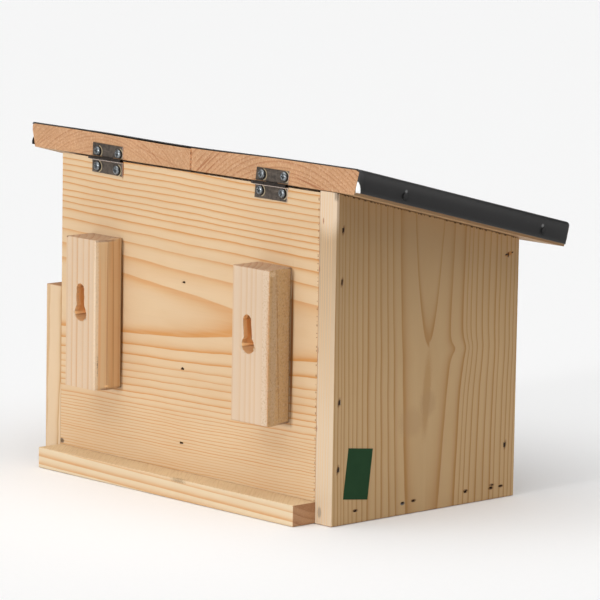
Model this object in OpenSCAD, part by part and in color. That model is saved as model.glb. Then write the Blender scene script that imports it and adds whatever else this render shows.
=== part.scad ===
// Squirrel feeder: a softwood box on two keyhole hanger blocks, with a clear fronted
// nut hopper beside an open feeding bay, under a metal covered lid on two butt hinges.
// +Z is up, the window faces -Y, the hanging side faces +Y and the tall side is at -X.
// The origin is under the middle of the overall box. Depths run forward from the rear
// face of the back panel.

/* [Boards] */
// Thickness of the side, back, partition, front and roof boards
board_t = 18; // [15:0.5:24]
// Thickness of the base board
base_t = 16; // [12:0.5:24]

/* [Box] */
// Clear width between the two side panels
inner_w = 292; // [260:1:400]
// Depth of the side panels, front to rear
side_d = 191; // [170:1:260]
// Height of the tall side panel at its rear edge
rear_h = 247; // [230:1:300]
// Height of the low side panel
low_side_h = 141; // [110:1:170]
// How far the base board reaches out behind the back panel
base_lip = 22; // [5:0.5:40]
// How much lower the back panel stops than the tall side's rear edge
back_drop = 0.6; // [0.3:0.1:3]
// Height of the lower front board
front_board_h = 50; // [40:1:80]
// Height of the top front rail
rail_h = 22; // [18:1:40]
// Gap from the rail's top to the tall side's front top corner
rail_drop = 1; // [0.5:0.5:6]
// Distance of the partition's middle from the box's middle, towards the low side
partition_shift = 2.5; // [-20:0.5:20]

/* [Feed arch] */
// Width of the arch that nuts slide through, at the partition's foot
feed_w = 56; // [30:1:90]
// Height of the feed arch above the base board
feed_h = 50; // [45:1:80]

/* [Window] */
// Thickness of the clear window pane
window_t = 3; // [2:0.5:5]
// How far the pane laps over the front board and over the rail
window_lap = 16; // [12:0.5:18]
// Air between the pane's upright edges and the wood beside them
window_gap = 1; // [0.5:0.5:4]
// Distance of the window screws from the pane's upright edges
window_screw_inset = 26; // [20:1:40]

/* [Roof] */
// Slope of the roof, down towards the front
roof_pitch = 14.3; // [8:0.1:22]
// Reach of the roof wood past the tall side
roof_tall_reach = 22.5; // [10:0.5:40]
// Reach of the roof wood past the low side
roof_low_reach = 18.5; // [10:0.5:40]
// Reach of the roof wood's top edge past the front edges of the sides
roof_front_reach = 31; // [10:0.5:60]
// Distance of the seam between the roof boards from the middle, towards the tall side
roof_seam_shift = 2; // [-40:0.5:40]
// Width of the bevel on the roof board's edge at the tall side, at its rear end
tall_bevel_w = 5; // [3:0.5:8]
// Width to which that bevel runs out at its front end
tall_bevel_front_w = 1.5; // [1:0.5:3]
// Height of the bevel on the roof board's edge at the tall side
tall_bevel_h = 16.5; // [4:0.5:17]
// Width of the bevel on the roof board's edge at the low side
low_bevel_w = 3; // [1:0.5:8]
// Height of the bevel on the roof board's edge at the low side
low_bevel_h = 12; // [4:0.5:17]
// Gap between the closed roof and the side panels it rests on
lid_gap = 0.3; // [0.2:0.05:1]

/* [Roof sheet] */
// Thickness of the metal sheet on the roof
sheet_t = 0.7; // [0.5:0.1:1.5]
// Width of the sheet's turned down edges
sheet_flange = 16.9; // [12:0.1:18]

/* [Hinges] */
// Distance between the middles of the two hinges
hinge_pitch = 186; // [120:1:240]
// Distance of the hinges' midpoint from the box's middle, towards the tall side
hinge_shift = 1.5; // [-20:0.5:20]
// Length of a hinge leaf along the pin
leaf_l = 35; // [30:0.5:40]
// Reach of a hinge leaf from the pin's axis
leaf_h = 11.4; // [11:0.1:14]
// Thickness of the hinge leaves
leaf_t = 0.8; // [0.6:0.1:1.2]
// Outside diameter of the rolled knuckles
knuckle_d = 3; // [2.8:0.1:4]
// Length of the middle knuckle, which belongs to the upper leaf
mid_knuckle_l = 12; // [8:0.5:16]
// Running gap between knuckles and around them
knuckle_gap = 0.3; // [0.2:0.05:0.6]
// Diameter of the hinge pin
pin_d = 1.6; // [1.2:0.1:1.8]
// Radial clearance of the pin in the knuckles
pin_play = 0.05; // [0.02:0.01:0.1]
// How far the pin sticks out of the knuckle towards the low side
pin_stub = 5; // [1:0.5:8]
// How far the pin's axis lies below the top of the tall side's rear edge
pin_drop = 0.9; // [0.6:0.1:2]
// Clearance between the knuckles and the wood behind them
knuckle_clear = 0.25; // [0.2:0.05:0.6]

/* [Hinge screws] */
// Distance between the two screws of a leaf
leaf_screw_pitch = 24; // [18:0.5:26]
// Distance of the leaf screws from the pin's axis
leaf_screw_out = 6.3; // [6:0.1:7]
// Diameter of the leaf screws' shanks
leaf_screw_d = 3; // [2.5:0.1:3.5]
// Diameter of the leaf screws' heads
leaf_screw_head_d = 6.8; // [5.5:0.1:7.2]
// Height of the leaf screws' heads
leaf_screw_head_t = 1.7; // [1.2:0.1:2.5]
// Length of the leaf screws under the head
leaf_screw_l = 14; // [10:1:16]

/* [Hanger blocks] */
// Distance between the keyholes of the two hanger blocks
block_pitch = 190.5; // [140:0.5:230]
// Distance of the keyholes' midpoint from the box's middle, towards the tall side
block_shift = 3.2; // [-20:0.1:20]
// Width of a hanger block's rear face
block_w = 40.5; // [37:0.5:50]
// How much narrower a hanger block is at its root, on the side that faces the tall side
block_flare = 4.5; // [0:0.5:6]
// Thickness of a hanger block, which holds the back off the wall
block_t = 26; // [20:0.5:36]
// Height of a hanger block
block_h = 116; // [100:1:125]
// Height of the blocks' lower ends above the ground
block_z = 71; // [40:1:90]
// Width of the bevel on the rear arris of the block at the low side
block_bevel_w = 5.5; // [1:0.5:8]
// Depth of that bevel from the rear face
block_bevel_d = 10; // [2:0.5:12]

/* [Keyholes] */
// Distance of the keyhole's middle from the block's square rear corner
key_in = 17.6; // [14:0.1:19]
// Width of the keyhole's slot, which takes the wall screw's neck
key_slot_w = 9; // [5:0.5:10]
// Diameter of the keyhole's entry, which takes the wall screw's head
key_entry_d = 13.4; // [12.8:0.1:15]
// Distance from the entry's middle up to the middle of the slot's round end
key_run = 18; // [12:0.5:24]
// Distance from the block's top down to the top of the slot
key_drop = 35; // [32:0.5:45]
// Thickness of wood that the screw's head hooks behind
key_lip = 4; // [3:0.5:6]
// Depth of the widened slot from the block's rear face
key_slot_deep = 10; // [8:0.5:12]
// Depth of the entry from the block's rear face
key_entry_deep = 13; // [12.5:0.5:16]

/* [Hanger screws] */
// Diameter of the screws that hold the blocks
hanger_screw_d = 4; // [3:0.5:5]
// Diameter of the countersunk heads of these screws
hanger_head_d = 7.6; // [6.5:0.1:9]
// Wood left between a screw's tip and the block's rear face
hanger_tip_cover = 4; // [2:0.5:8]
// Distance of these screws from the blocks' ends
hanger_screw_inset = 20; // [12:1:24]

/* [Window screws] */
// Diameter of the window screws' shanks
window_screw_d = 3; // [2.5:0.1:3.5]
// Diameter of the window screws' heads
window_head_d = 6; // [5:0.1:7]
// Height of the window screws' heads
window_head_t = 2; // [1.5:0.1:3]
// Length of the window screws under the head
window_screw_l = 13; // [10:1:15]

/* [Nails] */
// Length of the brads under the wood's surface
brad_l = 38; // [30:1:45]
// Width of a brad's shank along its head
brad_shank_w = 1.6; // [1.2:0.1:2]
// Thickness of a brad, shank and head
brad_t = 1.4; // [1:0.1:1.8]
// Width of a brad's head
brad_head_w = 3.6; // [2.6:0.1:5]
// Thickness of a brad's head along its length
brad_head_t = 1; // [0.6:0.1:1.6]
// Depth of a brad's head below the surface
brad_sink = 0.8; // [0.3:0.1:2]
// Distance of the rear upright row of brads from the rear edge
rear_brad_inset = 6.5; // [4:0.5:12]
// Distance of the front brads from the front edge
front_brad_inset = 11.5; // [5:0.5:13]
// Distance of the front board's end brads from its top edge
front_brad_drop = 9.5; // [6:0.5:14]
// Height of the base row of brads above the middle of the base board
base_brad_rise = 1; // [-3:0.5:3]

/* [Places of the brads] */
// Height of the lowest brads in the sides' rear edges
low_brad_z = 42; // [25:1:60]
// Height of the second brad in the tall side's rear edge
second_brad_z = 92; // [70:1:110]
// Distance of the third brad from the top of the tall side's rear edge
third_brad_drop = 66; // [50:1:80]
// Distance of the top brads from the tops of the sides' rear edges
top_brad_drop = 28; // [20:1:40]
// Distance of the first brad of the base row from the rear edge
base_brad_rear = 24; // [21:0.5:40]
// Distance of the base row's second brad from the rear edge
base_brad_pair = 73; // [55:0.5:80]
// Distance from the base row's second brad to its third
base_brad_pair_gap = 11; // [6:0.5:16]
// Distance of the base row's fourth brad from the front edge
base_brad_mid = 52; // [40:0.5:60]
// Distance of the base row's last brad from the front edge
base_brad_front = 14.5; // [6:0.5:15]
// Distance from the base row's fifth brad to its last
base_brad_front_gap = 10; // [6:0.5:20]
// Height of the partition's lowest brad
partition_low_brad_z = 38; // [28:1:60]
// Height of the partition's middle brad
partition_mid_brad_z = 95; // [75:1:120]
// Distance of the partition's top brad from the partition's top
partition_top_brad_drop = 36; // [25:1:50]
// Diameter of a roofing nail's shank
roof_nail_d = 1.6; // [1.4:0.1:2.5]
// Diameter of a roofing nail's head
roof_nail_head_d = 4.4; // [3.5:0.1:6]
// Thickness of a roofing nail's head
roof_nail_head_t = 0.8; // [0.5:0.1:1.5]
// Length of a roofing nail under its head
roof_nail_l = 22; // [15:1:30]
// Height of the roofing nails above the underside of the roof
roof_nail_up = 7.9; // [5:0.1:12]
// Distance of the rear roofing nails from the roof's rear edge
roof_nail_rear = 46; // [20:0.5:80]
// Distance of the front roofing nails from the roof's front edge
roof_nail_front = 29.5; // [15:0.5:80]

/* [Label] */
// Width of the blank sticker on the tall side
label_w = 25; // [15:0.5:40]
// Height of the blank sticker
label_h = 38; // [20:0.5:60]
// Thickness of the sticker
label_t = 0.2; // [0.1:0.05:0.5]
// Distance of the sticker's middle from the rear edge of the tall side
label_depth = 26; // [22:0.5:60]
// Height of the sticker's middle above the ground
label_z = 36.6; // [30:0.5:80]
// Tilt of the sticker, which dips towards the front
label_tilt = 7; // [-20:0.5:20]

/* [Fits] */
// Clearance around nails and screws in their holes
fastener_fit = 0.05; // [0.02:0.01:0.15]
// Radial clearance of screw shanks in the pane and in the hinge leaves
plate_fit = 0.2; // [0.1:0.05:0.5]

/* [Hidden] */
$fn = 48;

// Colours
pale_pine = "#e6c79c";
warm_pine = "#d9b07c";
end_grain = "#cf9a66";
sheet_grey = "#3d3d3f";
steel_grey = "#8b8f94";
leaf_brown = "#5c534b";
label_green = "#23432c";

// Overall places: the outer and inner faces of the sides, and the back's rear face
box_w = inner_w + 2 * board_t;
tall_out = (roof_tall_reach - roof_low_reach - box_w) / 2;
tall_in = tall_out + board_t;
low_in = tall_in + inner_w;
low_out = low_in + board_t;
box_mid = (tall_in + low_in) / 2;
rear_reach = max(block_t, base_lip);
sheet_nose = sheet_t * (cos(roof_pitch) + sin(roof_pitch));
rear_y = (side_d + roof_front_reach + sheet_nose - rear_reach) / 2;
front_y = rear_y - side_d;
front_inner_y = front_y + board_t;
back_inner_y = rear_y - board_t;
over = 1;

// Slope of the roof, as height lost for each millimetre of depth
fall = tan(roof_pitch);
function side_top(depth) = rear_h - depth * fall;
function roof_under(depth) = side_top(depth) + lid_gap;
// A point of the roof's side view: run goes down the slope from the rear edge of the
// underside, up is square to the slope
function roof_at(run, up) = [
    rear_y - run * cos(roof_pitch) - up * sin(roof_pitch),
    roof_under(0) - run * sin(roof_pitch) + up * cos(roof_pitch)
];

// Front frame and partition
rail_top = side_top(side_d) - rail_drop;
rail_bottom = rail_top - rail_h;
rail_mid = (rail_top + rail_bottom) / 2;
partition_mid = box_mid + partition_shift;
partition_left = partition_mid - board_t / 2;
partition_right = partition_mid + board_t / 2;

// Roof
roof_left = tall_out - roof_tall_reach;
roof_right = low_out + roof_low_reach;
roof_seam = (roof_left + roof_right) / 2 - roof_seam_shift;
roof_d = side_d + roof_front_reach;
roof_run = (roof_d - board_t * sin(roof_pitch)) / cos(roof_pitch);
sheet_top = board_t + sheet_t;
flange_low = sheet_top - sheet_flange;

// Hinges
pin_z = rear_h - pin_drop;
pin_y = rear_y + knuckle_clear + knuckle_d / 2;
hinge_left_x = box_mid - hinge_shift - hinge_pitch / 2;
hinge_right_x = hinge_left_x + hinge_pitch;
leaf_screw_offsets = [-leaf_screw_pitch / 2, leaf_screw_pitch / 2];

// Hanger blocks
block_left_x = box_mid - block_shift - block_pitch / 2;
block_right_x = block_left_x + block_pitch;
block_rear_y = rear_y + block_t;
block_top = block_z + block_h;
key_top_z = block_top - key_drop - key_slot_w / 2;
key_entry_z = key_top_z - key_run;
hanger_screw_l = board_t + block_t - hanger_tip_cover;
hanger_screw_z = [block_z + hanger_screw_inset, block_top - hanger_screw_inset];

// Brads: heights of the upright rows and depths of the base row
rear_brad_z = [low_brad_z, second_brad_z, rear_h - third_brad_drop, rear_h - top_brad_drop];
low_rear_brad_z = [low_brad_z, low_side_h - top_brad_drop];
base_brad_last = side_d - base_brad_front;
base_brad_depths = [
    base_brad_rear,
    base_brad_pair,
    base_brad_pair + base_brad_pair_gap,
    side_d - base_brad_mid,
    base_brad_last - base_brad_front_gap,
    base_brad_last
];
base_brad_z = base_t / 2 + base_brad_rise;
front_brad_depth = side_d - front_brad_inset;
board_brad_z = front_board_h - front_brad_drop;
partition_rear_brad_z = [
    partition_low_brad_z,
    partition_mid_brad_z,
    rail_top - partition_top_brad_drop
];
partition_front_brad_z = [front_board_h / 2, rail_mid];

// Window
window_left = tall_in + window_gap;
window_right = partition_left - window_gap;
window_low_z = front_board_h - window_lap;
window_high_z = rail_bottom + window_lap;
window_screw_x = [window_left + window_screw_inset, window_right - window_screw_inset];
window_screw_z = [front_board_h - window_lap / 2, rail_bottom + window_lap / 2];

// A box from its low corner to its high corner
module slab(low, high) {
    translate(low) cube(high - low);
}

// A side view outline in (y, z), drawn out along X from x0 to x1
module across(x0, x1, outline) {
    translate([x0, 0, 0]) rotate([90, 0, 90]) linear_extrude(x1 - x0) polygon(outline);
}

// A brad that goes down into +Z from a surface at z = 0, its head wide along X.
// With grow it is the hole for one, open to the surface.
module brad(grow = 0) {
    head_low = grow > 0 ? -over : brad_sink;
    shank_end = brad_l + grow;
    translate([-brad_head_w / 2 - grow, -brad_t / 2 - grow, head_low])
        cube([brad_head_w + 2 * grow, brad_t + 2 * grow, brad_sink + brad_head_t - head_low]);
    translate([-brad_shank_w / 2 - grow, -brad_t / 2 - grow, brad_sink])
        cube([brad_shank_w + 2 * grow, brad_t + 2 * grow, shank_end - brad_sink]);
}

// Brads driven through the tall side, at depths and heights, heads upright or lying
module tall_side_brad(depth, z, lying, grow = 0) {
    translate([tall_out, rear_y - depth, z])
        rotate([0, 90, 0]) rotate([0, 0, lying ? 90 : 0]) brad(grow);
}

// Brads driven through the low side
module low_side_brad(depth, z, lying, grow = 0) {
    translate([low_out, rear_y - depth, z])
        rotate([0, -90, 0]) rotate([0, 0, lying ? 90 : 0]) brad(grow);
}

module tall_rear_set(grow = 0) {
    for (z = rear_brad_z) tall_side_brad(rear_brad_inset, z, false, grow);
}

module tall_base_set(grow = 0) {
    for (depth = base_brad_depths) tall_side_brad(depth, base_brad_z, true, grow);
}

module tall_front_set(grow = 0) {
    for (z = [board_brad_z, rail_mid]) tall_side_brad(front_brad_depth, z, false, grow);
}

module low_rear_set(grow = 0) {
    for (z = low_rear_brad_z) low_side_brad(rear_brad_inset, z, false, grow);
}

module low_base_set(grow = 0) {
    for (depth = base_brad_depths) low_side_brad(depth, base_brad_z, true, grow);
}

module low_front_set(grow = 0) {
    low_side_brad(front_brad_depth, board_brad_z, false, grow);
}

module partition_rear_set(grow = 0) {
    for (z = partition_rear_brad_z)
        translate([partition_mid, rear_y, z]) rotate([90, 0, 0]) brad(grow);
}

module partition_front_set(grow = 0) {
    for (z = partition_front_brad_z)
        translate([partition_mid, front_y, z]) rotate([-90, 0, 0]) brad(grow);
}

// A cross slot cut into a screw head, from its top at z = 0 down
module cross_slot(head_d) {
    for (turn = [0, 90]) rotate([0, 0, turn])
        translate([-head_d * 0.28, -0.45, -1]) cube([head_d * 0.56, 0.9, 1 + over]);
}

// A screw with a low domed head that stands on z = 0, its shank in -Z
module domed_screw(shank_d, shank_l, head_d, head_t) {
    difference() {
        union() {
            cylinder(h = head_t / 2, d = head_d);
            translate([0, 0, head_t / 2])
                cylinder(h = head_t / 2, d1 = head_d, d2 = head_d * 0.7);
        }
        translate([0, 0, head_t]) cross_slot(head_d);
    }
    translate([0, 0, -shank_l]) cylinder(h = shank_l, d = shank_d);
}

// A countersunk screw whose head is flush with z = 0, its shank in -Z.
// With grow it is the hole for one, open to the surface.
module flush_screw(shank_d, shank_l, head_d, grow = 0) {
    head_t = (head_d - shank_d) / 2;
    past = grow > 0 ? over : 0;
    translate([0, 0, -head_t])
        cylinder(h = head_t + past, d1 = shank_d + 2 * grow, d2 = head_d + 2 * (grow + past));
    translate([0, 0, -shank_l - grow])
        cylinder(h = shank_l + grow, d = shank_d + 2 * grow);
}

module hanger_screw_set(grow = 0) {
    for (x = [block_left_x, block_right_x], z = hanger_screw_z)
        translate([x, back_inner_y, z]) rotate([90, 0, 0])
            flush_screw(hanger_screw_d, hanger_screw_l, hanger_head_d, grow);
}

// Shanks of the window screws, as holes of a wanted clearance
module window_screw_holes(clearance) {
    for (x = window_screw_x, z = window_screw_z)
        translate([x, front_inner_y + window_t, z]) rotate([90, 0, 0])
            translate([0, 0, -over])
                cylinder(h = window_screw_l + fastener_fit + over, d = window_screw_d + 2 * clearance);
}

// Shank holes of the hinge screws above (up = 1) or below (up = -1) the pin
module leaf_screw_holes(up, clearance) {
    for (x = [hinge_left_x, hinge_right_x], offset_x = leaf_screw_offsets)
        translate([x + offset_x, rear_y + leaf_t + over, pin_z + up * leaf_screw_out])
            rotate([90, 0, 0])
                cylinder(h = leaf_screw_l + fastener_fit + over, d = leaf_screw_d + 2 * clearance);
}

module leaf_screw_set(up) {
    for (x = [hinge_left_x, hinge_right_x], offset_x = leaf_screw_offsets)
        translate([x + offset_x, rear_y + leaf_t, pin_z + up * leaf_screw_out])
            rotate([-90, 0, 0])
                domed_screw(leaf_screw_d, leaf_screw_l, leaf_screw_head_d, leaf_screw_head_t);
}

module base_board() {
    color(pale_pine) difference() {
        slab([tall_in, front_inner_y, 0], [low_in, rear_y + base_lip, base_t]);
        tall_base_set(fastener_fit);
        low_base_set(fastener_fit);
    }
}

module back_panel() {
    top = rear_h - back_drop;
    color(pale_pine) difference() {
        across(tall_in, low_in, [
            [back_inner_y, base_t],
            [rear_y, base_t],
            [rear_y, top],
            [back_inner_y, top - board_t * fall]
        ]);
        tall_rear_set(fastener_fit);
        low_rear_set(fastener_fit);
        partition_rear_set(fastener_fit);
        hanger_screw_set(fastener_fit);
        leaf_screw_holes(-1, fastener_fit);
    }
}

module tall_side_panel() {
    color(warm_pine) difference() {
        across(tall_out, tall_in, [
            [front_y, 0],
            [rear_y, 0],
            [rear_y, rear_h],
            [front_y, side_top(side_d)]
        ]);
        tall_rear_set(fastener_fit);
        tall_base_set(fastener_fit);
        tall_front_set(fastener_fit);
    }
}

module low_side_panel() {
    color(warm_pine) difference() {
        slab([low_in, front_y, 0], [low_out, rear_y, low_side_h]);
        low_rear_set(fastener_fit);
        low_base_set(fastener_fit);
        low_front_set(fastener_fit);
    }
}

module partition() {
    arch_r = feed_w / 2;
    arch_y = (front_inner_y + back_inner_y) / 2;
    arch_z = base_t + feed_h - arch_r;
    color(pale_pine) difference() {
        slab([partition_left, front_inner_y, base_t], [partition_right, back_inner_y, rail_top]);
        translate([partition_left - over, arch_y, arch_z])
            rotate([90, 0, 90]) linear_extrude(board_t + 2 * over) {
                circle(r = arch_r);
                translate([-arch_r, base_t - over - arch_z])
                    square([feed_w, arch_z - base_t + over]);
            }
        partition_rear_set(fastener_fit);
        partition_front_set(fastener_fit);
    }
}

module front_board() {
    color(pale_pine) difference() {
        slab([tall_in, front_y, 0], [low_in, front_inner_y, front_board_h]);
        tall_base_set(fastener_fit);
        low_base_set(fastener_fit);
        tall_front_set(fastener_fit);
        low_front_set(fastener_fit);
        partition_front_set(fastener_fit);
        window_screw_holes(fastener_fit);
    }
}

module front_rail() {
    color(pale_pine) difference() {
        slab([tall_in, front_y, rail_bottom], [partition_right, front_inner_y, rail_top]);
        tall_front_set(fastener_fit);
        partition_front_set(fastener_fit);
        window_screw_holes(fastener_fit);
    }
}

module front_window() {
    color("lightcyan", 0.35) difference() {
        slab([window_left, front_inner_y, window_low_z],
             [window_right, front_inner_y + window_t, window_high_z]);
        window_screw_holes(plate_fit);
    }
}

module window_screws() {
    color(steel_grey)
        for (x = window_screw_x, z = window_screw_z)
            translate([x, front_inner_y + window_t, z]) rotate([-90, 0, 0])
                domed_screw(window_screw_d, window_screw_l, window_head_d, window_head_t);
}

// The keyhole as a cutting shape: its rear opening is at y = 0 and it goes into -Y
module keyhole_cut() {
    slot_r = key_slot_w / 2;
    head_r = key_entry_d / 2;
    // Slot for the screw's neck
    translate([0, over, key_top_z]) rotate([90, 0, 0])
        cylinder(h = key_slot_deep + over, r = slot_r);
    slab([-slot_r, -key_slot_deep, key_entry_z], [slot_r, over, key_top_z]);
    // Room for the screw's head behind the lip
    translate([0, -key_lip, key_top_z]) rotate([90, 0, 0])
        cylinder(h = key_slot_deep - key_lip, r = head_r);
    slab([-head_r, -key_slot_deep, key_entry_z], [head_r, -key_lip, key_top_z]);
    // Round entry
    translate([0, over, key_entry_z]) rotate([90, 0, 0])
        cylinder(h = key_entry_deep + over, r = head_r);
}

// A hanger block with its keyhole's middle at x. Its side towards the low side is square, the
// other slants in to the root, and bevel takes its width and depth off the arris between that
// side and the rear face.
module hanger_block(x, bevel) {
    face_end = key_in - block_w;
    slant = block_flare / block_t;
    rear_arris = bevel[1] > 0
        ? [[face_end + bevel[0], 0], [face_end + slant * bevel[1], -bevel[1]]]
        : [[face_end, 0]];
    color(pale_pine) difference() {
        translate([x, block_rear_y, block_z]) linear_extrude(block_h)
            polygon(concat([[key_in, -block_t], [key_in, 0]], rear_arris,
                           [[face_end + block_flare, -block_t]]));
        translate([x, block_rear_y, 0]) keyhole_cut();
        hanger_screw_set(fastener_fit);
    }
}

module hanger_block_left() {
    hanger_block(block_left_x, [0, 0]);
}

module hanger_block_right() {
    hanger_block(block_right_x, [block_bevel_w, block_bevel_d]);
}

module hanger_screws() {
    color(steel_grey) hanger_screw_set();
}

module tall_side_rear_brads() {
    color(steel_grey) tall_rear_set();
}

module tall_side_base_brads() {
    color(steel_grey) tall_base_set();
}

module tall_side_front_brads() {
    color(steel_grey) tall_front_set();
}

module low_side_rear_brads() {
    color(steel_grey) low_rear_set();
}

module low_side_base_brads() {
    color(steel_grey) low_base_set();
}

module low_side_front_brads() {
    color(steel_grey) low_front_set();
}

module partition_rear_brads() {
    color(steel_grey) partition_rear_set();
}

module partition_front_brads() {
    color(steel_grey) partition_front_set();
}

module side_label() {
    color(label_green)
        translate([tall_out - label_t / 2, rear_y - label_depth, label_z])
            rotate([label_tilt, 0, 0]) cube([label_t, label_w, label_h], center = true);
}

// A tube along X around the pin's axis, from x0 to x1
module knuckle(x0, x1) {
    translate([x0, pin_y, pin_z]) rotate([0, 90, 0])
        cylinder(h = x1 - x0, d = knuckle_d);
}

// The strap that joins a leaf's plate to its knuckle, towards up = 1 or -1
module strap(x0, x1, up) {
    plate_start = knuckle_d / 2 + knuckle_gap;
    low_z = up > 0 ? pin_z : pin_z - plate_start;
    slab([x0, rear_y + knuckle_clear, low_z], [x1, rear_y + leaf_t, low_z + plate_start]);
}

// The plate of a leaf, beyond the knuckles, towards up = 1 or -1
module leaf_plate(x, up) {
    plate_start = knuckle_d / 2 + knuckle_gap;
    low_z = up > 0 ? pin_z + plate_start : pin_z - leaf_h;
    slab([x - leaf_l / 2, rear_y, low_z],
         [x + leaf_l / 2, rear_y + leaf_t, low_z + leaf_h - plate_start]);
}

module pin_hole(x) {
    translate([x - leaf_l, pin_y, pin_z]) rotate([0, 90, 0])
        cylinder(h = 2 * leaf_l, r = pin_d / 2 + pin_play);
}

module lower_leaf(x) {
    inner = mid_knuckle_l / 2 + knuckle_gap;
    color(leaf_brown) difference() {
        union() {
            leaf_plate(x, -1);
            knuckle(x - leaf_l / 2, x - inner);
            knuckle(x + inner, x + leaf_l / 2);
            strap(x - leaf_l / 2, x - inner, -1);
            strap(x + inner, x + leaf_l / 2, -1);
        }
        pin_hole(x);
        leaf_screw_holes(-1, plate_fit);
    }
}

module upper_leaf(x) {
    color(leaf_brown) difference() {
        union() {
            leaf_plate(x, 1);
            knuckle(x - mid_knuckle_l / 2, x + mid_knuckle_l / 2);
            strap(x - mid_knuckle_l / 2, x + mid_knuckle_l / 2, 1);
        }
        pin_hole(x);
        leaf_screw_holes(1, plate_fit);
    }
}

module hinge_pin(x) {
    color(steel_grey) translate([x - leaf_l / 2 + pin_stub / 2, pin_y, pin_z])
        rotate([0, 90, 0]) cylinder(h = leaf_l + pin_stub / 2, d = pin_d);
}

module hinge_left_lower_leaf() {
    lower_leaf(hinge_left_x);
}

module hinge_right_lower_leaf() {
    lower_leaf(hinge_right_x);
}

module lower_leaf_screws() {
    color(steel_grey) leaf_screw_set(-1);
}

module hinge_left_pin() {
    hinge_pin(hinge_left_x);
}

module hinge_right_pin() {
    hinge_pin(hinge_right_x);
}

// A sloping slab of the roof from x0 to x1, between two heights above the underside,
// cut plumb at the rear and square at the front
module roof_slab(x0, x1, low, high, run) {
    across(x0, x1, [
        roof_at(-low * fall, low),
        roof_at(-high * fall, high),
        roof_at(run, high),
        roof_at(run, low)
    ]);
}

// The bevel of a roof board's outer edge; out = -1 at the tall side, 1 at the low side.
// Its width runs from w at the rear to front_w at the front.
module roof_bevel(x, out, w, front_w, h) {
    turn = atan((w - front_w) / roof_run);
    translate([x, rear_y, roof_under(0)]) rotate([roof_pitch, 0, 0])
        translate([-out * w, 0, 0]) rotate([0, 0, out * turn])
            translate([out * w, board_t, 0]) rotate([90, 0, 0])
                linear_extrude(roof_run + 2 * board_t)
                    polygon([[out * over, -over],
                             [-out * w * (1 + over / h), -over],
                             [out * over, h * (1 + over / w)]]);
}

// Roofing nails through a turned down edge of the sheet; into = 1 points along +X
module roof_nail_places(x, into) {
    for (depth = [roof_nail_rear, roof_d - roof_nail_front])
        translate([x, rear_y - depth, roof_under(depth) + roof_nail_up])
            rotate([0, -90 * into, 0]) children();
}

module roof_nail_holes(x, into) {
    roof_nail_places(x, into) translate([0, 0, -roof_nail_l - fastener_fit])
        cylinder(h = roof_nail_l + fastener_fit + over, d = roof_nail_d + 2 * fastener_fit);
}

module roof_nail_set(x, into) {
    color(steel_grey) roof_nail_places(x, into) {
        translate([0, 0, -roof_nail_l]) cylinder(h = roof_nail_l, d = roof_nail_d);
        cylinder(h = roof_nail_head_t, d = roof_nail_head_d);
    }
}

module roof_board_left() {
    color(end_grain) difference() {
        roof_slab(roof_left, roof_seam, 0, board_t, roof_run);
        roof_bevel(roof_left, -1, tall_bevel_w, tall_bevel_front_w, tall_bevel_h);
        roof_nail_holes(roof_left - sheet_t, 1);
        leaf_screw_holes(1, fastener_fit);
    }
}

module roof_board_right() {
    color(end_grain) difference() {
        roof_slab(roof_seam, roof_right, 0, board_t, roof_run);
        roof_bevel(roof_right, 1, low_bevel_w, low_bevel_w, low_bevel_h);
        roof_nail_holes(roof_right + sheet_t, -1);
        leaf_screw_holes(1, fastener_fit);
    }
}

module roof_sheet() {
    sheet_run = roof_run + sheet_t;
    color(sheet_grey) difference() {
        union() {
            roof_slab(roof_left - sheet_t, roof_right + sheet_t, board_t, sheet_top, sheet_run);
            roof_slab(roof_left - sheet_t, roof_left, flange_low, sheet_top, sheet_run);
            roof_slab(roof_right, roof_right + sheet_t, flange_low, sheet_top, sheet_run);
            across(roof_left, roof_right, [
                roof_at(roof_run, flange_low),
                roof_at(roof_run, sheet_top),
                roof_at(sheet_run, sheet_top),
                roof_at(sheet_run, flange_low)
            ]);
        }
        roof_nail_holes(roof_left - sheet_t, 1);
        roof_nail_holes(roof_right + sheet_t, -1);
    }
}

module roof_nails_left() {
    roof_nail_set(roof_left - sheet_t, 1);
}

module roof_nails_right() {
    roof_nail_set(roof_right + sheet_t, -1);
}

module hinge_left_upper_leaf() {
    upper_leaf(hinge_left_x);
}

module hinge_right_upper_leaf() {
    upper_leaf(hinge_right_x);
}

module upper_leaf_screws() {
    color(steel_grey) leaf_screw_set(1);
}

base_board();
back_panel();
tall_side_panel();
low_side_panel();
partition();
front_board();
front_rail();
front_window();
window_screws();
hanger_block_left();
hanger_block_right();
hanger_screws();
tall_side_rear_brads();
tall_side_base_brads();
tall_side_front_brads();
low_side_rear_brads();
low_side_base_brads();
low_side_front_brads();
partition_rear_brads();
partition_front_brads();
side_label();
hinge_left_lower_leaf();
hinge_right_lower_leaf();
lower_leaf_screws();
hinge_left_pin();
hinge_right_pin();
roof_board_left();
roof_board_right();
roof_sheet();
roof_nails_left();
roof_nails_right();
hinge_left_upper_leaf();
hinge_right_upper_leaf();
upper_leaf_screws();
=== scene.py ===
import math
import random

import bmesh
import bpy
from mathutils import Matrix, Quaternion, Vector


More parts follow.
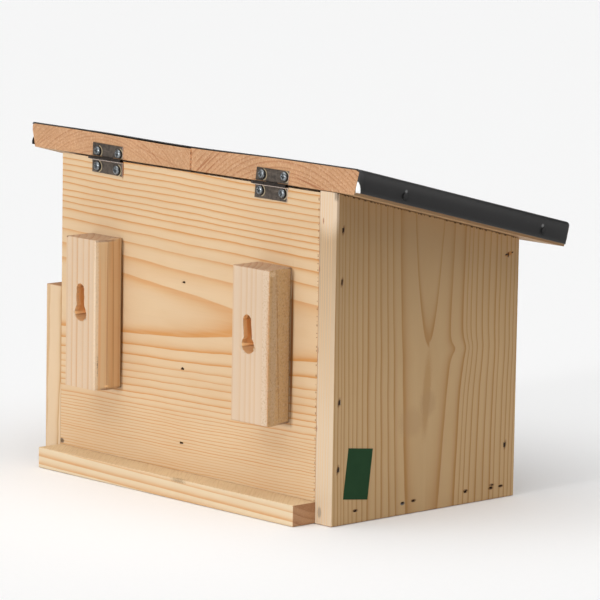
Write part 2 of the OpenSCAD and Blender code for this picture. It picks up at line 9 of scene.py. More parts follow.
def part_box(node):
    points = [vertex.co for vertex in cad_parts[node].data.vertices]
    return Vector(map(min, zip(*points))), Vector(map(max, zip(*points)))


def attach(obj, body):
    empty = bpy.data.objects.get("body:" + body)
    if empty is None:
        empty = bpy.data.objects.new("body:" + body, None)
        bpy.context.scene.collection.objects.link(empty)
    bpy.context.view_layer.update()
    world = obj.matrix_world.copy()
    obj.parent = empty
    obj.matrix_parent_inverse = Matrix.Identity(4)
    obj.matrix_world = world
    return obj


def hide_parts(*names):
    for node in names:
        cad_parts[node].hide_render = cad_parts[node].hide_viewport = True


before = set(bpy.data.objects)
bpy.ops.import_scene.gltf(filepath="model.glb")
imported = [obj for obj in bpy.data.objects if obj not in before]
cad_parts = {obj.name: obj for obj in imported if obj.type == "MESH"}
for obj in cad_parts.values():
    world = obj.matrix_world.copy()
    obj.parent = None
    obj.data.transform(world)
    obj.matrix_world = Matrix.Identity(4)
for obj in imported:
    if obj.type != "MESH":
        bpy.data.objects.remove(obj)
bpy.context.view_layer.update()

MM = 0.001

# Where the camera stood, in metres, and how it looked: azimuth 0 looks along +Y
CAMERA_PLACE = Vector((-2.39105, 2.22054, 0.64354))
CAMERA_AZIMUTH = math.radians(226.886)
CAMERA_ELEVATION = math.radians(8.782)
CAMERA_ROLL = math.radians(0.946)
CAMERA_LENS = 257.1
CAMERA_SENSOR = 36
CAMERA_REACH = (0.1, 50)

# Light. A soft box is its direction, half its angle in degrees, and its level
KEY_FROM = (-0.04, 1.0, 0.12)
KEY_LEVEL = 0.46
KEY_ANGLE = 7
REAR_BOX = ((0.25, 1.0, 0.45), 38, 0.32)
TOP_BOX = ((0.0, 0.2, 1.0), 42, 1.75)
SIDE_BOX = ((-0.75, -0.5, 0.6), 32, 0.25)
AMBIENT = 0.08
BACKDROP = 1.0
SOFT_RIM = 0.25
FLOOR_HALF = 8
FLOOR_GAP = 0.3 * MM

# Roof: its slope, and how thick its boards and its sheet are
ROOF_PITCH = math.radians(14.3)
BOARD = 18 * MM
SHEET = 0.7 * MM

# Edges: how round a board's arris is, how long an edge has to be for it, and which bends stay sharp
ARRIS = 0.6
LONG_EDGE = 8
SHARP_TURN = math.radians(40)
FLAT_TURN = math.radians(0.5)

# Colours of the woods, linear
CREAM = (0.61, 0.44, 0.268)
CREAM_LINE = (0.53, 0.25, 0.078)
BLUSH = (0.585, 0.395, 0.225)
TAN_PINE = {"pale": (0.58, 0.385, 0.195), "line": (0.43, 0.222, 0.072), "blush": (0.555, 0.355, 0.17)}
BLOCK_CREAM = (0.592, 0.438, 0.3)
END_TAN = (0.5, 0.275, 0.14)
END_LINE = (0.31, 0.115, 0.045)
NAIL_STAIN = (0.16, 0.055, 0.012)
BARE_HOLE = (0.035, 0.018, 0.01)
GREY_DIRT = (0.13, 0.115, 0.1)
# Painted shadow, for the dark strips that the hanger blocks cast
SHADE = (0.23, 0.08, 0.01)

# How fast the wood's unevenness changes along the grain and across it, per millimetre
DRIFT = (1 / 90, 1 / 28)
TREMOR = (1 / 14, 1 / 5)
PATCHES = (1 / 60, 1 / 3)
FIBRES = (1 / 30, 1.4)
CLOUDS = (1 / 110, 1 / 35)
WARM_SPOTS = (1 / 70, 1 / 24)
# How squarely a face looks along a direction, from not counted to fully counted
FACING = (0.45, 0.85)


class Wire:
    """A socket of a finish. Sums on it add Math nodes."""

    def __init__(self, finish, socket):
        self.finish = finish
        self.socket = socket

    def __add__(self, other):
        return self.finish.math("ADD", self, other)

    def __sub__(self, other):
        return self.finish.math("SUBTRACT", self, other)

    def __rsub__(self, other):
        return self.finish.math("SUBTRACT", other, self)

    def __mul__(self, other):
        return self.finish.math("MULTIPLY", self, other)

    def __truediv__(self, other):
        return self.finish.math("DIVIDE", self, other)

    def __rtruediv__(self, other):
        return self.finish.math("DIVIDE", other, self)

    def __pow__(self, other):
        return self.finish.math("POWER", self, other)

    def __abs__(self):
        return self.finish.math("ABSOLUTE", self)

    __radd__ = __add__
    __rmul__ = __mul__


class Finish:
    """A material, or the studio's light, made of nodes."""

    def __init__(self, name, world=None):
        self.holder = world or bpy.data.materials.new(name)
        self.holder.use_nodes = True
        self.tree = self.holder.node_tree
        self.shader = self.tree.nodes["Background" if world else "Principled BSDF"]

    def feed(self, socket, value):
        if isinstance(value, Wire):
            self.tree.links.new(value.socket, socket)
        elif socket.type == "RGBA" and len(value) == 3:
            socket.default_value = (*value, 1)
        else:
            socket.default_value = value

    def node(self, kind, settings=None, values=None, output=0):
        made = self.tree.nodes.new("ShaderNode" + kind)
        for key, value in (settings or {}).items():
            if key == "curve":
                self.draw_curve(made, value)
            else:
                setattr(made, key, value)
        for key, value in (values or {}).items():
            self.feed(made.inputs[key], value)
        return Wire(self, made.outputs[output])

    def draw_curve(self, made, points):
        """Straight stretches through points, both ways from 0 to 1."""
        curve = made.mapping.curves[0]
        for _ in points[2:]:
            curve.points.new(0.5, 0.5)
        for point, (x, y) in zip(curve.points, points):
            point.location = (x, y)
            point.handle_type = "VECTOR"
        made.mapping.update()

    def math(self, operation, *values):
        return self.node("Math", {"operation": operation}, dict(enumerate(values)))

    def place(self):
        """A point of the piece in millimetres of the frame."""
        return shade(self.node("TexCoord", output="Object"), 1 / MM)

    def bump(self, height, strength, distance):
        return self.node("Bump", None, {0: strength, 1: distance, "Height": height})

    def dress(self, **sockets):
        """Feeds the shader's own sockets, named with _ for a space."""
        for name, value in sockets.items():
            self.feed(self.shader.inputs[name.replace("_", " ")], value)
        return self.holder


# Nodes as functions of wires

def vector_math(operation, one, other, output=0):
    return one.finish.node("VectorMath", {"operation": operation}, {0: one, 1: other}, output)


def dot(one, other):
    return vector_math("DOT_PRODUCT", one, other, "Value")


def away_from(one, other):
    return vector_math("DISTANCE", one, other, "Value")


def join(x, y=0, z=0):
    return x.finish.node("CombineXYZ", None, {0: x, 1: y, 2: z})


def axis_of(vector, axis):
    return vector.finish.node("SeparateXYZ", None, {0: vector}, axis)


def root(value):
    return value.finish.math("SQRT", value)


def smooth(value, low, high):
    """0 below low, 1 above high, and a soft step between; low may lie above high."""
    soft_step = {"interpolation_type": "SMOOTHSTEP"}
    return value.finish.node("MapRange", soft_step, {0: value, 1: low, 2: high})


def noise(vector, scale, detail=2, roughness=0.5):
    return vector.finish.node("TexNoise", None, {0: vector, 2: scale, 3: detail, 4: roughness})


def mix(factor, one, other):
    """Colour one where factor is 0, the other where it is 1."""
    return factor.finish.node("Mix", {"data_type": "RGBA"}, {0: factor, 6: one, 7: other}, 2)


def shade(colour, factor):
    """A colour made darker or lighter by a factor."""
    return colour.finish.node("VectorMath", {"operation": "SCALE"}, {0: colour, 3: factor})


# Wood

def wood(name, *, corner, along, across, inward, heart, rings, other_rings=None, taper=0,
         taper_from=0, pale=CREAM, line=CREAM_LINE, blush=BLUSH, end=END_TAN, cheek=(1, 1, 1), edge=6,
         waver=1.0, strength=1.0, fuzz=0.3, warmth=0.4, calm=0, seed=0, marks=(), bends=()):
    """Softwood cut from a log whose heart runs along the grain. All lengths are millimetres.

    corner is the zero of the board's own measures: along the grain, across the face and inward
    from it. heart is the log's middle in (across, inward). rings are the year rings as (radius,
    strength, breadth), and other_rings those on the lower side of the heart where they differ.
    taper is how fast the square of a ring's radius drops along the grain. cheek tints the faces
    that look across the grain, and calm fades the rings there. bends push the grain sideways
    around a knot.
    """
    finish = Finish(name)
    point = vector_math("SUBTRACT", finish.place(), corner)
    run, side, deep = [dot(point, way) for way in (along, across, inward)]

    def stretched(run_scale, side_scale):
        """A point squeezed along the grain, so that noise on it is streaked."""
        return join(run * run_scale, side * side_scale + seed, deep * side_scale)

    drift = noise(stretched(*DRIFT), 1, 2) - 0.5
    tremor = noise(stretched(*TREMOR), 1, 2) - 0.5
    drift_by, tremor_by = 4 * waver, 0.7 * waver
    shifted = side + drift * drift_by + tremor * tremor_by
    for at_run, at_side, push, reach, spread in bends:
        near_run = (run - at_run) / reach
        near_side = (side - at_side) / spread
        shifted = shifted - push / (1 + near_run * near_run * 2) ** 2 / (1 + near_side * near_side)

    from_heart = shifted - heart[0]
    depth = deep - heart[1]
    square = from_heart * from_heart + depth * depth + (run - taper_from) * taper
    radius = root(finish.math("MAXIMUM", square, 0))
    half = finish.math("SIGN", from_heart)
    signed = radius * half
    others = other_rings or rings
    low, high = -rings[-1][0], others[-1][0]
    count = max(len(rings), len(others))
    widest = max(ring[2] for ring in rings + others)
    place = (signed - low) / (high - low)

    def numbered(some):
        return [(ring[0], (number + 1, *ring[1:])) for number, ring in enumerate(some)]

    heart_near = abs(heart[1]) < min(rings[0][0], others[0][0])
    middle = [(at, (0, 0, 1)) for at in (-abs(heart[1]), abs(heart[1])) if heart_near]
    stops = [(-at, values) for at, values in numbered(rings)][::-1] + middle + numbered(others)

    def read_off(item, top):
        points = [((at - low) / (high - low), values[item] / top) for at, values in stops]
        return finish.node("FloatCurve", {"curve": points}, {1: place}) * top

    year = read_off(0, count)
    bold = read_off(1, 2)
    breadth = read_off(2, widest)
    whole = finish.math("FLOOR", year)
    part = year - whole
    odd = finish.node("TexWhiteNoise", {"noise_dimensions": "1D"}, {"W": whole + half * 0.25 + seed},
                      "Value")
    late = finish.math("MINIMUM", part ** (edge / breadth) * 1.5, 1) * smooth(part, 1.0, 0.96)
    patchy = noise(stretched(*PATCHES), 1, 2)
    ring_line = late * bold * (patchy * 0.7 + 0.75) * (odd * 0.3 + 0.85)

    fibre = noise(stretched(*FIBRES), 1, 3, 0.6) - 0.5
    cloud = noise(stretched(*CLOUDS), 1, 2) - 0.5
    grit = noise(point, 1.1, 3, 0.7) - 0.5
    normal = finish.node("TexCoord", output="Normal")
    cut = smooth(abs(dot(normal, along)), *FACING)
    flank = smooth(abs(dot(normal, across)), *FACING)

    ring_line = ring_line * (1 - flank * calm)
    warm = smooth(noise(stretched(*WARM_SPOTS), 1.3, 3), 0.42, 0.68)
    face = mix(warm * warmth, pale, blush)
    face = mix(finish.math("MINIMUM", ring_line * strength, 1), face, line)
    face = shade(face, fibre * 0.09 + cloud * 0.12 + 1)
    face = mix(flank, face, vector_math("MULTIPLY", face, cheek))
    end_rings = finish.math("MINIMUM", late * (bold * 0.6 + 0.1) * (patchy + 0.5), 1)
    across_cut = mix(end_rings, end, END_LINE)
    across_cut = shade(across_cut, grit * 0.7 + cloud * 0.4 + 1)
    fleck = smooth(noise(point, 0.9, 2, 0.5), 0.64, 0.74)
    across_cut = mix(fleck * 0.35, across_cut, pale)
    colour = mix(cut, face, across_cut)
    height = ring_line * 0.25 + fibre * (0.5 + fuzz) + grit * (cut * 1.2 + fuzz)
    for mark in marks:
        shown, tint, hollow = mark(run, side, deep, grit)
        colour = mix(shown, colour, tint)
        if hollow:
            height = height - shown * hollow

    return finish.dress(Base_Color=colour, Roughness=0.62 + fibre * 0.2, Specular_IOR_Level=0.3,
                        Normal=finish.bump(height, 0.35, 0.25 * MM))


def even_rings(first, last, spacing, seed, strength=(0.4, 0.9)):
    """Year rings with good and bad years."""
    years = random.Random(seed)
    rings = [(first, years.uniform(*strength), 1)]
    while rings[-1][0] < last:
        rings.append((rings[-1][0] + spacing * years.uniform(0.65, 1.4), years.uniform(*strength), 1))
    return rings


def seen_rings(seen, depth, seed, strength=(0.75, 1.05)):
    """Rings that show on a face at these distances, with the heart this deep. A distance may carry its
    own strength and breadth."""
    years = random.Random(seed)
    rings = []
    for item in seen:
        distance, *own = item if isinstance(item, tuple) else (item,)
        bold = own[0] if own else years.uniform(*strength)
        rings.append((math.hypot(distance, depth), bold, own[1] if len(own) > 1 else 1))
    return rings


# Marks on a board. Each gives where it shows, its tint and how deep it is cut

def on_surface(on, run, side, deep):
    """Two measures along one of the board's surfaces, and the one that leads off it."""
    return {"face": (run, side, deep), "edge": (run, deep, side), "end": (side, deep, run)}[on]


def turned(one, two, turn, long, wide):
    """Two measures turned by so many degrees, and shortened by a length and a width."""
    cos, sin = math.cos(math.radians(turn)), math.sin(math.radians(turn))
    return one * (cos / long) + two * (sin / long), two * (cos / wide) - one * (sin / wide)


def smudge(at, size, tint, turn=0, on="face", level=0, depth=3, share=1.0, hollow=0, ragged=0.8):
    """An uneven patch around a point, turned in degrees.

    It lies on the board's face, edge or end, measured by (along, across), (along, inward) or
    (across, inward), and shows only so near to that surface's level.
    """
    def mark(run, side, deep, grit):
        first, second, off = on_surface(on, run, side, deep)
        u, v = turned(first - at[0], second - at[1], turn, *size)
        span = root(u * u + v * v)
        near = smooth(abs(off - level), depth, depth * 0.7)
        return smooth(span + grit * ragged, 1.15, 0.6) * near * share, tint, hollow
    return mark


def broken_line(at, wide, tint, every, share):
    """A line of torn spots across the grain at one place."""
    def mark(run, side, deep, grit):
        beat = noise(join(side * (1 / every), at), 1, 2)
        near = smooth(abs(run - at) + grit * 0.8, wide, wide * 0.4)
        return near * smooth(beat, 0.5, 0.6) * share, tint, 0.5
    return mark


def fine_lines(depths, wide, tint, share):
    """Straight year rings on the board's edge, at these depths."""
    def mark(run, side, deep, grit):
        sway = noise(join(run * 0.02), 1, 2) * 2 - 1
        total = 0
        for depth in depths:
            total = smooth(abs(deep + sway - depth), wide, wide * 0.3) + total
        return total * smooth(side, 0.6, 0.3) * share, tint, 0
    return mark


def saw_marks(turn, tint, share):
    """Slanting marks of a saw on the board's edge."""
    stroke_long, stroke_wide = 24, 1.3

    def mark(run, side, deep, grit):
        stroke = noise(join(*turned(run, deep, turn, stroke_long, stroke_wide)), 1, 2)
        return smooth(stroke, 0.42, 0.72) * smooth(side, 0.6, 0.3) * share, tint, 0.6
    return mark


def shade_under_roof(over, tint, share):
    """Painted shade under a roof: the wood is darker towards the start of the grain."""
    def mark(run, side, deep, grit):
        return smooth(run, over, -over * 0.1) * share, tint, 0
    return mark


def painted_hole_shade(at, reach, tint, share, above=0.4):
    """Painted shade and orange bounce light inside a hole, deeper than so much below the face."""
    def mark(run, side, deep, grit):
        one, two = (run - at[0]) / reach[0], (side - at[1]) / reach[1]
        span = root(one * one + two * two)
        shown = smooth(span, 1, 0.98) * smooth(deep, above - 0.3, above)
        return shown * (grit * 0.4 + share), tint, 0
    return mark


def torn_top(slope, every, tint, share):
    """Torn dark spots along a slanting sawn top."""
    def mark(run, side, deep, grit):
        below = run - side * slope
        beat = noise(join(side * (1 / every), 7.0), 1, 2)
        torn = smooth(below + grit, 1.5, 0.8) * smooth(beat, 0.49, 0.57)
        return torn * share, tint, 0
    return mark


def specks(on, level, tint, share, sign=1, depth=6):
    """Fuzz or pits scattered over a rough sawn surface."""
    def mark(run, side, deep, grit):
        off = on_surface(on, run, side, deep)[2]
        near = smooth(abs(off - level), depth, depth * 0.7)
        rough = noise(join(run, side + sign * 9, deep), 0.62, 2, 0.6)
        return smooth(rough, 0.5, 0.68) * near * share, tint, 0
    return mark


def underside(at, tint, share):
    """Painted shade on the face that looks the other way."""
    def mark(run, side, deep, grit):
        return smooth(deep, at - 1.0, at - 0.4) * share, tint, 0
    return mark


# Metals and the rest

def steel(name, tint, dark, roughness, scale, dirt):
    """Plated or raw steel with darker stains and fine scratches."""
    finish = Finish(name)
    point = finish.place()
    stain = smooth(noise(point, scale, 4, 0.65), 0.35, 0.7)
    fine = noise(point, scale * 6, 3, 0.6)
    return finish.dress(Base_Color=mix(stain * dirt, tint, dark), Metallic=1 - stain * 0.35,
                        Roughness=roughness + fine * 0.18 + stain * 0.1,
                        Normal=finish.bump(fine * 0.5 + stain * 0.5, 0.2, 0.05 * MM))


def hinge_steel(screws):
    """Dark rolled steel with painted light: a shadow round each screw, a pale reflection ring past it,
    shade on the barrel's -X side, and highlights in streaks, under the pin and on the -X edges.
    """
    finish = Finish("dark rolled steel")
    point = finish.place()
    stain = smooth(noise(point, 0.3, 4, 0.65), 0.38, 0.66)
    fine = noise(point, 2.2, 3, 0.6)
    # Lighter streaks are painted highlights
    highlight_streak = noise(vector_math("MULTIPLY", point, (0.05, 1, 0.9)), 1, 3)
    colour = mix(stain, (0.125, 0.101, 0.083), (0.048, 0.038, 0.03))
    colour = mix(smooth(highlight_streak, 0.58, 0.7) * 0.5, colour, (0.27, 0.235, 0.2))
    right = axis_of(point, "X")
    # Round each screw a painted shadow, and past it a painted pale reflection ring
    for screw in screws:
        span = away_from(point, screw - Vector((0.9, 0, 0.2)))
        ring = smooth(abs(span - 4.3), 0.6, 0.2)
        past = smooth(right, screw.x - 1.0, screw.x - 2.6)
        colour = mix(smooth(span, 4.2, 3.4) * 0.85, colour, (0.01, 0.008, 0.007))
        colour = mix(ring * past * 0.8, colour, (0.52, 0.42, 0.26))
    off = axis_of(point, "Z") - pin_z
    barrel = smooth(abs(off), 2.0, 1.5)
    # Painted reflection: a bright line under the pin; with the edges that look to -X, painted
    # highlights
    under = smooth(abs(off + 1.3), 0.65, 0.3) * smooth(fine, 0.35, 0.5)
    facing = axis_of(finish.node("TexCoord", output="Normal"), "X")
    painted_highlight = finish.math("MAXIMUM", under, smooth(facing, -0.35, -0.7) * (1 - barrel))
    colour = mix(barrel * 0.8, colour, (0.024, 0.018, 0.015))
    # Painted shade on the barrel where it looks to -X
    colour = mix(smooth(facing, -0.5, -0.8) * barrel, colour, (0.004, 0.003, 0.002))
    colour = mix(painted_highlight * 0.9, colour, (0.76, 0.64, 0.57))
    return finish.dress(Base_Color=colour, Metallic=0.85 - stain * 0.35 - painted_highlight * 0.5,
                        Roughness=0.38 + fine * 0.2,
                        Normal=finish.bump(fine * 0.5 + stain * 0.5, 0.25, 0.06 * MM))


def coated_sheet(dents, painted_highlight):
    """Charcoal coated steel with a soft sheen, dented at its nails; painted light gives a lighter band
    by the fold, a dark ring and a highlight at each dent, and a white highlight at one bent-in corner.
    """
    finish = Finish("charcoal coated sheet")
    point = finish.place()
    cloud = noise(point, 0.045, 4, 0.6)
    fleck = noise(point, 1.6, 3, 0.7)
    rub = smooth(noise(point, 0.25, 5, 0.7), 0.62, 0.75)
    below = (roof_point(0, 0, ROOF_TOP) / MM).dot(off_slope) - dot(point, off_slope)
    along = dot(point, -down_slope)
    # Painted sheen: lighter below the fold, most towards the rear end
    back_end = smooth(along, -60, rear_y - 20) * 0.8 + 0.5
    lit = smooth(below, 14, 2) * 0.4 + smooth(below, 9, 0) * back_end * 0.8
    colour = mix(rub * 0.3, (0.03, 0.029, 0.029), (0.08, 0.08, 0.082))
    colour = shade(colour, cloud * 0.3 + fleck * 0.35 + lit + 0.16)
    colour = mix(smooth(below, 16.2, 16.8) * 0.5, colour, (0.11, 0.105, 0.1))
    hollow = 0
    for dent in dents:
        span = away_from(point, dent)
        hollow = smooth(span + fleck * 0.8, 5.2, 1.2) + hollow
        # Painted shade ring round each dent, and a painted highlight above it
        ring = smooth(abs(span - 3.0), 0.7, 0.1)
        from_glint = away_from(point, dent + off_slope * 3.4)
        glint = smooth(from_glint + fleck * 1.5, 2.6, 1.2)
        colour = mix(ring * 0.6, colour, (0.008, 0.008, 0.008))
        colour = mix(glint * 0.4, colour, (0.42, 0.42, 0.42))
    # Painted highlight: a white patch where the bent-in rear corner catches the light
    from_spot = vector_math("SUBTRACT", point, painted_highlight)
    up = dot(from_spot, off_slope)
    across = (dot(from_spot, down_slope) + up * 0.35) / 2.1
    span = root(across * across + up * up / 27)
    corner_highlight = smooth(span + fleck * 0.3, 1.25, 1.0)
    corner_highlight = corner_highlight * smooth(abs(axis_of(from_spot, "X")), 8, 7)
    return finish.dress(Base_Color=mix(corner_highlight, colour, (0.9, 0.9, 0.89)),
                        Metallic=0.35 - corner_highlight * 0.3, Roughness=0.38 + cloud * 0.12 + fleck * 0.05,
                        Specular_IOR_Level=0.5, Normal=finish.bump(fleck * 0.1 - hollow, 0.6, 0.5 * MM))


def clear_pane():
    """Clear plastic pane with faint smears."""
    finish = Finish("clear pane")
    smear = smooth(noise(finish.place(), 0.05, 4, 0.6), 0.4, 0.75)
    return finish.dress(Base_Color=(0.4, 0.45, 0.45), Roughness=0.03 + smear * 0.05,
                        Alpha=0.07 + smear * 0.04, Specular_IOR_Level=0.9, Coat_Weight=0.6,
                        Coat_Roughness=0.03)


def sticker():
    """Plain dark green sticker with a satin face."""
    finish = Finish("green sticker")
    point = finish.place()
    speck = noise(point, 1.5, 3, 0.6)
    cloud = noise(point, 0.12, 2)
    colour = mix(cloud, (0.013, 0.05, 0.018), (0.018, 0.062, 0.023))
    return finish.dress(Base_Color=shade(colour, speck * 0.2 + 0.9), Roughness=0.6 + speck * 0.15,
                        Specular_IOR_Level=0.15, Normal=finish.bump(speck, 0.1, 0.04 * MM))


def pale_floor():
    """Pale matt studio floor."""
    finish = Finish("pale floor")
    grain = noise(finish.place(), 0.2, 3)
    colour = mix(grain, (0.93, 0.93, 0.93), (0.95, 0.95, 0.95))
    return finish.dress(Base_Color=colour, Roughness=0.85)


# Shapes

def put_in_scene(name, data):
    made = bpy.data.objects.new(name, data)
    bpy.context.scene.collection.objects.link(made)
    return made


def piece(node, kind, shape, body, material):
    """The finished wood or metal that stands for a CAD node and rides on a body."""
    mesh = bpy.data.meshes.new(node + "_" + kind)
    shape.to_mesh(mesh)
    shape.free()
    for face in mesh.polygons:
        face.use_smooth = True
    mesh.set_sharp_from_angle(angle=SHARP_TURN)
    mesh.materials.append(material)
    made = put_in_scene(mesh.name, mesh)
    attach(made, body)
    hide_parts(node)
    if kind == "wood":
        # Large flat faces stay flat to the eye beside small round ones
        made.modifiers.new("flat faces", "WEIGHTED_NORMAL").keep_sharp = True
    return made


def cad_copy(node):
    """A welded copy of a CAD node's mesh, with its flat faces whole."""
    shape = bmesh.new()
    shape.from_mesh(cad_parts[node].data)
    bmesh.ops.remove_doubles(shape, verts=shape.verts, dist=0.002 * MM)
    bmesh.ops.dissolve_limit(shape, angle_limit=FLAT_TURN, verts=shape.verts, edges=shape.edges)
    return shape


def bevel(shape, edges, width, steps):
    """Rounds edges over so many millimetres."""
    bmesh.ops.bevel(shape, geom=edges, offset=width * MM, offset_type="OFFSET", segments=steps,
                    profile=0.5, affect="EDGES", clamp_overlap=True)


def ease(shape, width, least, turn=25, steps=3):
    """Rounds the sharp edges that are longer than least."""
    def sharp(edge):
        return len(edge.link_faces) == 2 and edge.calc_face_angle_signed(0) > math.radians(turn)

    bevel(shape, [e for e in shape.edges if sharp(e) and e.calc_length() > least * MM], width, steps)
    return shape


def ease_metal(shape, width):
    return ease(shape, width, 0.5, turn=35, steps=2)


def part_at(shape, place, direction):
    """Parts the faces along a plane, so that they can bend there."""
    everything = shape.verts[:] + shape.edges[:] + shape.faces[:]
    bmesh.ops.bisect_plane(shape, geom=everything, dist=0.001 * MM, plane_co=direction * (place * MM),
                           plane_no=direction)


def held(value):
    """A share, kept between 0 and 1."""
    return min(1, max(0, value))


def board(node, material):
    """A CAD board of the box with its arrises eased."""
    piece(node, "wood", ease(cad_copy(node), ARRIS, LONG_EDGE), "box", material)


def hardware(node, body, material, arris):
    """A CAD piece of metal with its edges eased."""
    piece(node, "metal", ease_metal(cad_copy(node), arris), body, material)


# Places, in millimetres, from the frame

def corners(node):
    low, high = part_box(node)
    return low / MM, high / MM


def middle_of(node, axis):
    low, high = corners(node)
    return (low[axis] + high[axis]) / 2


back_high = corners("back_panel")[1]
tall_low, tall_high = corners("tall_side_panel")
low_high = corners("low_side_panel")[1]
base_high = corners("base_board")[1]
block_left_high = corners("hanger_block_left")[1]
block_right_high = corners("hanger_block_right")[1]
roof_left_low, roof_left_high = corners("roof_board_left")
roof_right_high = corners("roof_board_right")[1]
sheet_low, sheet_high = corners("roof_sheet")
rear_y = back_high.y
RIGHT, REAR, UP = Vector((1, 0, 0)), Vector((0, 1, 0)), Vector((0, 0, 1))
down_slope = Vector((0, -math.cos(ROOF_PITCH), -math.sin(ROOF_PITCH)))
off_slope = Vector((0, -math.sin(ROOF_PITCH), math.cos(ROOF_PITCH)))
seam = roof_left_high.x
ROOF_FOOT = Vector((0, rear_y, roof_left_high.z - BOARD / MM / math.cos(ROOF_PITCH)))
ROOF_TOP = (BOARD + SHEET) / MM

# Keyhole: how far its middle is from the block's high corner, and its reach below the block's top
KEYHOLE_IN = 17.6
KEYHOLE_TOP, KEYHOLE_MIDDLE, KEYHOLE_FOOT = 31, 51, 71

# Hinge screws: their pitch along the leaf, and how far above or below the pin they stand
SCREW_PITCH = 24
SCREW_OFF = 6.3
X_AXIS, Z_AXIS = 0, 2
pin_z = middle_of("hinge_left_pin", Z_AXIS)
hinge_x = [middle_of("hinge_left_lower_leaf", X_AXIS), middle_of("hinge_right_lower_leaf", X_AXIS)]


def roof_point(x, run, up):
    """A point of the roof, in metres: so far across, down the slope, and off the boards' underside."""
    return (ROOF_FOOT + RIGHT * x + down_slope * run + off_slope * up) * MM


def sag(x, depth, reach):
    """How far the roof sags near the seam of its boards."""
    away = min(1, abs(x - seam) / reach)
    return depth * (1 + math.cos(math.pi * away)) / 2


# Roof

def roof_board(node, material, sag_depth, sag_reach, lowered):
    """A roof board, rounded where the sheet folds over it. Its top sags at the seam and lies lower."""
    low, high = corners(node)
    outer = max(abs(low.x), abs(high.x))
    front_run, touch, rounding, strips = 224, 0.1, 2.7, 24
    stiff, soft = 11, 6
    shape = cad_copy(node)

    def at_fold(vert):
        place = vert.co / MM
        run, up = (place - ROOF_FOOT).dot(down_slope), (place - ROOF_FOOT).dot(off_slope)
        return up > BOARD / MM - touch and (abs(place.x) > outer - touch or run > front_run)

    bevel(shape, [e for e in shape.edges if all(at_fold(vert) for vert in e.verts)], rounding, 4)
    ease(shape, ARRIS, LONG_EDGE)
    for number in range(1, strips):
        part_at(shape, low.x + (high.x - low.x) * number / strips, RIGHT)
    for vert in shape.verts:
        up = (vert.co / MM - ROOF_FOOT).dot(off_slope)
        drop = sag(vert.co.x / MM, sag_depth, sag_reach) + lowered
        vert.co.z -= drop * held((up - stiff) / soft) * MM
    piece(node, "wood", shape, "lid", material)


def roof_sheet_shape():
    """The sheet's outer skin: a sagging top, and a skirt round the two sides and the front."""
    fold, flange_foot = 2.6, 1.8
    sag_depth, sag_reach = 1.2, 115
    corner_cut, bent_in, bend_reach = 3, 4.0, 6.5
    slope_steps, width_steps, turn_steps, skirt_steps = 12, 36, 6, 6
    same_point = 1e-6
    inner_x = sheet_high.x - fold
    front = (ROOF_FOOT.y - sheet_low.y - ROOF_TOP * math.sin(ROOF_PITCH)) / math.cos(ROOF_PITCH)
    inner_run = front - fold
    runs = [None, 0.8, 1.6, 2.6, 3.8, 5.2, 7, 10, 16]
    near_rear = runs[-1]
    runs += [near_rear + (inner_run - near_rear) * n / slope_steps for n in range(1, slope_steps + 1)]
    columns = [-inner_x + 2 * inner_x * n / width_steps for n in range(width_steps + 1)]
    turns = [math.pi / 2 * n / turn_steps for n in range(1, turn_steps)]
    outline = [(-inner_x, run, 1, 0) for run in runs]
    outline += [(-inner_x, inner_run, math.cos(turn), math.sin(turn)) for turn in turns]
    outline += [(x, inner_run, 0, 1) for x in columns]
    outline += [(inner_x, inner_run, math.sin(turn), math.cos(turn)) for turn in turns]
    outline += [(inner_x, run, 1, 0) for run in runs[::-1]]
    profile = [(0, ROOF_TOP)]
    profile += [(fold * math.sin(turn), ROOF_TOP - fold * (1 - math.cos(turn)))
                for turn in turns + [math.pi / 2]]
    foot_from = ROOF_TOP - fold
    drop = flange_foot - foot_from
    profile += [(fold, foot_from + drop * n / skirt_steps) for n in range(1, skirt_steps + 1)]
    shape = bmesh.new()

    def skin(x, run, up):
        """A point of the skin. Without a run it is at the rear, where one corner is bent in."""
        rear = -up * math.tan(ROOF_PITCH)
        if run is None:
            run = rear
            if x > inner_x + fold * 0.9:
                run += corner_cut * held((up - 6) / 2)
        past = max(0, 1 - (run - rear) / bend_reach)
        if x < -inner_x:
            x += bent_in * past ** 2 * held((17 - up) / 13)
        place = roof_point(x, run, up)
        place.z -= sag(x, sag_depth, sag_reach) * MM * held((up - 8) / 8)
        return shape.verts.new(place)

    skirt = []
    for x, run, toward_x, toward_front in outline:
        side = math.copysign(1, x) if toward_x else 0
        reach = 0 if run is None else toward_front
        skirt.append([skin(x + side * toward_x * out, run if run is None else run + reach * out, up)
                      for out, up in profile])
    for one, two in zip(skirt, skirt[1:]):
        for row in range(len(profile) - 1):
            if (one[row].co - two[row].co).length > same_point or row:
                shape.faces.new((one[row], one[row + 1], two[row + 1], two[row]))
            else:
                shape.faces.new((one[row], one[row + 1], two[row + 1]))
    top = [[skin(x, run, ROOF_TOP) for x in columns] for run in runs]
    for one, two in zip(top, top[1:]):
        for n in range(len(columns) - 1):
            shape.faces.new((one[n], two[n], two[n + 1], one[n + 1]))
    bmesh.ops.remove_doubles(shape, verts=shape.verts, dist=0.01 * MM)
    bmesh.ops.recalc_face_normals(shape, faces=shape.faces)
    highest = max(shape.faces, key=lambda face: face.calc_area())
    if highest.normal.z < 0:
        bmesh.ops.reverse_faces(shape, faces=shape.faces)
    return shape


# Hinges and hanger blocks

def leaf_body(node):
    """The lower leaves ride on the box, the upper ones on the lid."""
    return "box" if "lower" in node else "lid"


